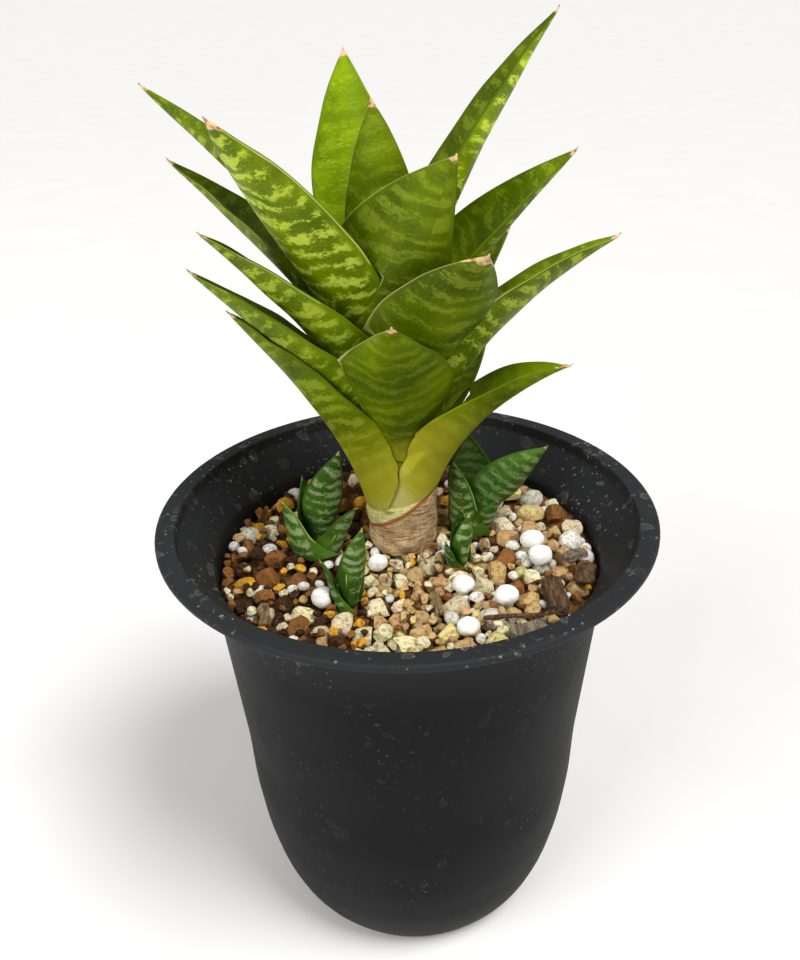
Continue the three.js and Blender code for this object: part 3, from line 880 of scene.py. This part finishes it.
# %% One leaf
def leaf_piece(node, axis, wave, levels):
    """A fine leaf over its CAD node. axis is the line that its rosette stands on."""
    sharp, crease, flat_enough = math.radians(48), 0.8, math.radians(60)
    wavelength, calm_foot = 11 * MM, 15
    piece = merged_copy(node, node + "_blade")
    cage = corners(piece)
    edit(piece, "EDGE")
    bpy.ops.object.mode_set(mode="EDIT")
    bpy.ops.mesh.edges_select_sharp(sharpness=sharp)
    bpy.ops.transform.edge_crease(value=crease)
    bpy.ops.object.mode_set(mode="OBJECT")
    on_edge = np.zeros(len(piece.data.vertices), bool)
    piece.data.vertices.foreach_get("select", on_edge)
    store(piece, "edge", on_edge)
    store(piece, "margin", on_edge & (corner_normals(piece) @ blade_normal(cage, axis) > 0))
    draw_out_tip(piece, cage, axis)
    bpy.ops.object.mode_set(mode="EDIT")
    bpy.ops.mesh.select_all(action="SELECT")
    bpy.ops.mesh.tris_convert_to_quads(face_threshold=flat_enough, shape_threshold=flat_enough)
    bpy.ops.object.mode_set(mode="OBJECT")
    smooth_finely(piece, levels)
    lay_out(piece, cage, axis)
    places = corners(piece)
    amount = wave * ripple(places, wavelength, len(node) + places[0, 0] * 900)
    amount *= np.clip(attribute(piece, "from_foot") / calm_foot, 0, 1)
    amount *= 0.35 + 0.65 * attribute(piece, "edge") ** 2
    move_corners(piece, places + amount[:, None] * MM * blade_normal(cage, axis)[None, :])
    return piece


def draw_out_tip(piece, cage, axis):
    """Pull the blunt end of the cage out to the hard point of the leaf."""
    _, tip, long, _, _ = blade_axes(cage, axis)
    point, narrowing = 0.9 * MM, 0.4
    edit(piece, "FACE")
    for face in piece.data.polygons:
        near = (face.center - Vector(tip)).length < point
        face.select = near and face.normal.dot(Vector(long)) > 0.5
    bpy.ops.object.mode_set(mode="EDIT")
    bpy.ops.mesh.extrude_region_move(TRANSFORM_OT_translate={"value": Vector(long) * point})
    bpy.ops.transform.resize(value=(narrowing, narrowing, narrowing))
    bpy.ops.object.mode_set(mode="OBJECT")


def blade_axes(cage, axis):
    """The foot, tip, long direction, crosswise direction and outward direction of a leaf."""
    foot_height = cage[:, 2].min()
    height = cage[:, 2].max() - foot_height
    foot = np.array([axis[0], axis[1], foot_height])
    tip = cage[np.argmax(np.linalg.norm(cage - foot, axis=1))]
    long = (tip - foot) / np.linalg.norm(tip - foot)
    low = cage[cage[:, 2] < foot_height + 0.4 * height]
    out = (low - foot).mean(0) * (1, 1, 0)
    out = out - long * out.dot(long)
    out /= np.linalg.norm(out)
    return foot, tip, long, np.cross(long, out), out


def blade_normal(cage, axis):
    return blade_axes(cage, axis)[4]


def lay_out(piece, cage, axis):
    """Give a leaf its flat map and its distances from the tip and the foot, in mm."""
    foot, tip, long, cross, out = blade_axes(cage, axis)
    places = corners(piece)
    from_tip = np.linalg.norm(places - tip, axis=1) / MM
    along = (places - foot) @ long
    across = (places - foot) @ cross
    depth = (places - foot) @ out
    outer = np.clip(corner_normals(piece) @ out * 4 + 0.5, 0, 1)
    store(piece, "from_tip", from_tip)
    store(piece, "from_foot", along / MM)
    store(piece, "outer", outer)
    start = chance.uniform(0, 400) * MM
    width = np.sign(across) * np.hypot(across, np.minimum(depth - np.median(depth), 0) * 0.5)
    flat = np.stack([width + start, along - 0.10 * np.abs(across)], 1)
    corner_of_loop = np.empty(len(piece.data.loops), np.int32)
    piece.data.loops.foreach_get("vertex_index", corner_of_loop)
    layer = piece.data.uv_layers.new(name="blade")
    layer.data.foreach_set("uv", flat[corner_of_loop].astype(np.float32).ravel())


# %% [markdown]
# ## The twenty leaves
#
# No two leaves are coloured alike. Some are strongly banded and some are nearly plain.
# Each leaf is also painted lighter or darker as a whole, which is painted light and shade:
# those in front lie in shade and are painted darker. Each could have a material of its own.
# It is less work to keep a few numbers on each leaf's corners, which one material reads.
# The two lowest leaves also carry the papery husk, which stops at a slanting line.

# %% The twenty leaves
sheath_low, sheath_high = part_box("basal_sheath")
stem_axis = ((sheath_low + sheath_high) / 2)[:2]
# Each leaf's strength of banding, and how light or dark it is painted for the light and shade on
# it. The rest are middling.
banding = {
    "leaf_18": 1.0, "leaf_14": 1.0, "leaf_08": 0.85, "leaf_10": 0.75, "leaf_15": 0.8,
    "leaf_12": 0.38, "leaf_07": 0.42, "leaf_04": 0.22, "leaf_02": 0.2, "leaf_20": 0.25,
    "leaf_19": 0.4, "leaf_01": 0.45,
}
tone = {
    "leaf_19": 1.3, "leaf_18": 1.5, "leaf_14": 1.05, "leaf_20": 0.86, "leaf_12": 0.68,
    "leaf_07": 0.68, "leaf_04": 0.8, "leaf_01": 0.84, "leaf_05": 0.85, "leaf_13": 0.8,
}
# The inner face of some leaves is painted darker or lighter than the outer face: painted shade and
# painted light.
inner_painted_light = {"leaf_18": 0.66, "leaf_19": 1.6, "leaf_08": 1.2}
dry_tips = {"leaf_07": 2.6, "leaf_14": 1.8, "leaf_02": 1.8, "leaf_18": 0.4, "leaf_12": 0.6}
# How much farther the pale foot reaches on the outermost leaves.
pale_foot = {"leaf_01": 1.75, "leaf_02": 2.1, "leaf_03": 1.5}
# The husk's border: its height in mm over the sheath's top in the middle of the stem, its
# rise to the right, and the number that a corner on the border is given.
husk_height = 0.9
husk_slope = 0.65
husk_border = 2.0


def husk_of(piece):
    """How far in mm each corner lies below the border of the husk, added to husk_border."""
    places = corners(piece) / MM
    from_middle = places[:, 0] - stem_axis[0] / MM
    border = sheath_high.z / MM + husk_height + husk_slope * from_middle
    return np.clip(border - places[:, 2] + husk_border, 0, 8)


for number in range(1, 21):
    node = f"leaf_{number:02d}"
    leaf = leaf_piece(node, stem_axis, 0.8, 3)
    count = len(leaf.data.vertices)
    store(leaf, "banding", np.full(count, banding.get(node, 0.7)))
    # Painted light and shade: each leaf, and its inner face apart, made lighter or darker.
    outer_painted_light = tone.get(node, 0.95)
    faces_out = attribute(leaf, "outer")
    painted_light_per_corner = faces_out * outer_painted_light + (1 - faces_out) * inner_painted_light.get(node, outer_painted_light)
    store(leaf, "tone", painted_light_per_corner)
    store(leaf, "dry", np.full(count, dry_tips.get(node, 0.8)))
    store(leaf, "from_foot", attribute(leaf, "from_foot") / pale_foot.get(node, 1.0))
    store(leaf, "husk", husk_of(leaf) if node in ("leaf_01", "leaf_02") else np.zeros(count))
    finish_piece(leaf, leaf_finish, "leaf", node)
print("the last leaf has", len(leaf.data.polygons), "faces")

# %% [markdown]
# ## Offsets
#
# The four young plants round the stem are made in the same way, with shorter and darker
# leaves that carry more white.

# %% Offsets
offset_leaves = {"offset_left": 5, "offset_front": 3, "offset_right": 4, "offset_small": 3}
for family, many in offset_leaves.items():
    names = [f"{family}_leaf_{k:02d}" for k in range(1, many + 1)]
    feet = np.concatenate([corners(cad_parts[n]) for n in names])
    axis = feet[feet[:, 2] < feet[:, 2].min() + 3 * MM][:, :2].mean(0)
    for node in names:
        leaf = leaf_piece(node, axis, 0.2, 3)
        count = len(leaf.data.vertices)
        store(leaf, "banding", np.full(count, 0.8))
        store(leaf, "tone", np.full(count, chance.uniform(0.9, 1.15)))
        store(leaf, "dry", np.full(count, 0.2))
        store(leaf, "husk", np.zeros(count))
        finish_piece(leaf, offset_finish, "offset_leaf", node)
    print(family, "stands at", (axis / MM).round(1))

# %% [markdown]
# ## Stem and dry sheath
#
# The stem is hidden by the leaves but for its foot. Round the foot is a dry, papery
# collar, all that is left of the first leaves. Its fibres are wound round the stem, and its
# upper end clasps the lowest leaves, with an orange-brown scar slanting across it where
# the paper stops and the living leaf begins. It could be a cylinder with a cloth-like
# texture. A copy of the CAD collar is used, so that it fits round the stem, and it is
# subdivided, folded by a few sines and drawn up unevenly at its upper edge.

# %% Stem and dry sheath
def make_stem_finish():
    f = Finish("stem_skin", Roughness=0.55, Specular_IOR_Level=0.35)
    where = f.place((1, 1, 0.3))
    f.paint(f.blend(f.noise(where, 0.5, 3), tint(150, 148, 66), tint(192, 180, 116)))
    f.relief(f.noise(where, 1.5, 2), 0.3, 0.5)
    return f.material


def make_sheath_finish():
    f = Finish("dry_sheath", Roughness=0.75, Specular_IOR_Level=0.3)
    fibres = f.noise(f.place((0.35, 0.35, 1.9)), 1.0, 5, 0.7)
    veins = f.noise(f.place((1.4, 1.4, 0.2)), 1.0, 3)
    blotches = f.noise(f.place(), 0.3, 3)
    paper = f.blend(f.step(fibres, 0.32, 0.62), tint(136, 98, 56), tint(222, 194, 148))
    paper = f.blend(f.math("MULTIPLY", f.step(veins, 0.5, 0.75), 0.4), paper, tint(120, 80, 44))
    paper = f.blend(f.math("MULTIPLY", f.step(blotches, 0.55, 0.72), 0.5), paper, tint(140, 84, 38))
    husk = f.math("ADD", f.value("husk"), f.math("MULTIPLY", blotches, 0.9))
    living = f.blend(f.step(veins, 0.3, 0.7), tint(200, 194, 118), tint(216, 210, 146))
    paper = f.blend(f.step(husk, 2.4, 3.1), living, paper)
    scar = f.math("MULTIPLY", f.step(husk, 1.5, 2.2), f.step(husk, 3.5, 2.7))
    f.paint(f.blend(f.math("MULTIPLY", scar, 0.9), paper, tint(150, 72, 14)))
    f.relief(fibres, 0.8, 0.8)
    f.relief(veins, 0.4, 0.5)
    return f.material


stem = merged_copy("stem", "stem_core")
smooth_finely(stem, 2)
finish_piece(stem, make_stem_finish(), "stem", "stem")

flat_enough = math.radians(40)
sheath = merged_copy("basal_sheath", "dry_sheath")
edit(sheath, "EDGE")
bpy.ops.object.mode_set(mode="EDIT")
bpy.ops.mesh.select_all(action="SELECT")
bpy.ops.mesh.tris_convert_to_quads(face_threshold=flat_enough, shape_threshold=flat_enough)
bpy.ops.object.mode_set(mode="OBJECT")
smooth_finely(sheath, 3)
places = corners(sheath)
rise = (places[:, 2] - sheath_low.z) / (sheath_high.z - sheath_low.z)
away = places - np.array([*stem_axis, 0])
bearing = np.arctan2(away[:, 1], away[:, 0])
away[:, 2] = 0
away /= np.linalg.norm(away, axis=1)[:, None]
outer_side = (corner_normals(sheath) * away).sum(1) > 0.1
folds = np.sin(13 * rise + 2.6 * np.sin(bearing) + 1.8 * np.sin(3 * bearing + 1))
swell = 0.25 + 0.45 * np.clip(rise * 2 - 1, 0, 1)
push = np.where(outer_side, swell + 0.2 * folds + 0.4 * ripple(places, 3 * MM, 3), 0.2)
torn = np.clip((rise - 0.45) / 0.55, 0, 1)
lift = 3.2 + 2.0 * np.cos(bearing + 0.5) + 0.2 * np.sin(5 * bearing)
lift += 0.5 * ripple(places, 3 * MM, 8)
places = places + away * push[:, None] * MM
places[:, 2] += torn * lift * MM
move_corners(sheath, places)
store(sheath, "husk", husk_of(sheath))
finish_piece(sheath, make_sheath_finish(), "dry_sheath", "basal_sheath")

# %% [markdown]
# ## Large pumice
#
# Seven white grains are big enough to be pieces of their own. They are almost round, with
# a pitted, chalky skin. The CAD pebbles are subdivided and made uneven.

# %% Large pumice
def make_pumice_finish():
    f = Finish("white_pumice", Roughness=0.9, Specular_IOR_Level=0.25)
    where = f.place()
    pits = f.noise(where, 2.2, 4, 0.7)
    stain = f.noise(where, 0.3, 3)
    chalk = f.blend(f.step(pits, 0.28, 0.48), tint(214, 208, 194), tint(246, 245, 240))
    stained = f.math("MULTIPLY", f.step(stain, 0.55, 0.75), 0.3)
    f.paint(f.blend(stained, chalk, tint(204, 176, 120)))
    f.relief(pits, 0.2, 0.4)
    return f.material


pumice_finish = make_pumice_finish()
for number in range(1, 8):
    ball = merged_copy(f"pumice_{number}", f"pumice_ball_{number}")
    smooth_finely(ball, 2)
    places = corners(ball)
    out = corner_normals(ball)
    uneven = 0.35 * ripple(places, 2.6 * MM, number) + 0.12 * ripple(places, 0.9 * MM, number + 9)
    move_corners(ball, places + out * uneven[:, None] * MM)
    finish_piece(ball, pumice_finish, "pumice", f"pumice_{number}")

# %% [markdown]
# ## Bark, dry leaf and root
#
# Three chips of bark, three scraps of dry leaf, a twig and a thin root lie on the grit.
# They are small, but their dark ragged shapes break up the pale grains. Each is a copy of
# its CAD node, subdivided with its edges half creased, and roughened along its length.

# %% Bark, dry leaf and root
def make_litter_finish(name, dark, light, rough=0.9):
    f = Finish(name, Roughness=rough, Specular_IOR_Level=0.2)
    where = f.place()
    fibres = f.noise(f.place((1.6, 0.25, 1.6)), 1.0, 4, 0.7)
    cloud = f.noise(where, 0.4, 3)
    colour = f.blend(f.step(fibres, 0.3, 0.7), dark, light)
    f.paint(f.blend(f.math("MULTIPLY", f.step(cloud, 0.5, 0.7), 0.5), colour, dark))
    f.relief(fibres, 0.8, 0.8)
    return f.material


def litter_piece(node, rough, levels=3):
    piece = merged_copy(node, node + "_piece")
    edit(piece, "EDGE")
    bpy.ops.object.mode_set(mode="EDIT")
    bpy.ops.mesh.edges_select_sharp(sharpness=math.radians(40))
    bpy.ops.transform.edge_crease(value=0.45)
    bpy.ops.object.mode_set(mode="OBJECT")
    smooth_finely(piece, levels)
    places = corners(piece)
    out = corner_normals(piece)
    uneven = ripple(places, 2.2 * MM, len(node)) + 0.5 * ripple(places, 0.8 * MM, len(node) + 5)
    move_corners(piece, places + out * (rough * uneven)[:, None] * MM)
    return piece


bark_finish = make_litter_finish("bark", tint(48, 34, 24), tint(116, 88, 62))
grey_finish = make_litter_finish("grey_bark", tint(78, 68, 56), tint(150, 136, 112))
dry_finish = make_litter_finish("dry_leaf", tint(70, 54, 40), tint(168, 138, 98))
root_finish = make_litter_finish("dry_root", tint(104, 76, 48), tint(176, 142, 98))
litter = {
    "bark_chip_long": (bark_finish, "bark", 0.5),
    "bark_chip_flat": (grey_finish, "bark", 0.3),
    "bark_chip_grey": (grey_finish, "bark", 0.35),
    "dry_scrap_right": (bark_finish, "dry_leaf", 0.3),
    "dry_scrap_left": (dry_finish, "dry_leaf", 0.3),
    "dry_scrap_curled": (dry_finish, "dry_leaf", 0.3),
    "twig": (bark_finish, "root", 0.15),
    "aerial_root": (root_finish, "root", 0.1),
}
for node, (material, slot, rough) in litter.items():
    finish_piece(litter_piece(node, rough), material, slot, node)
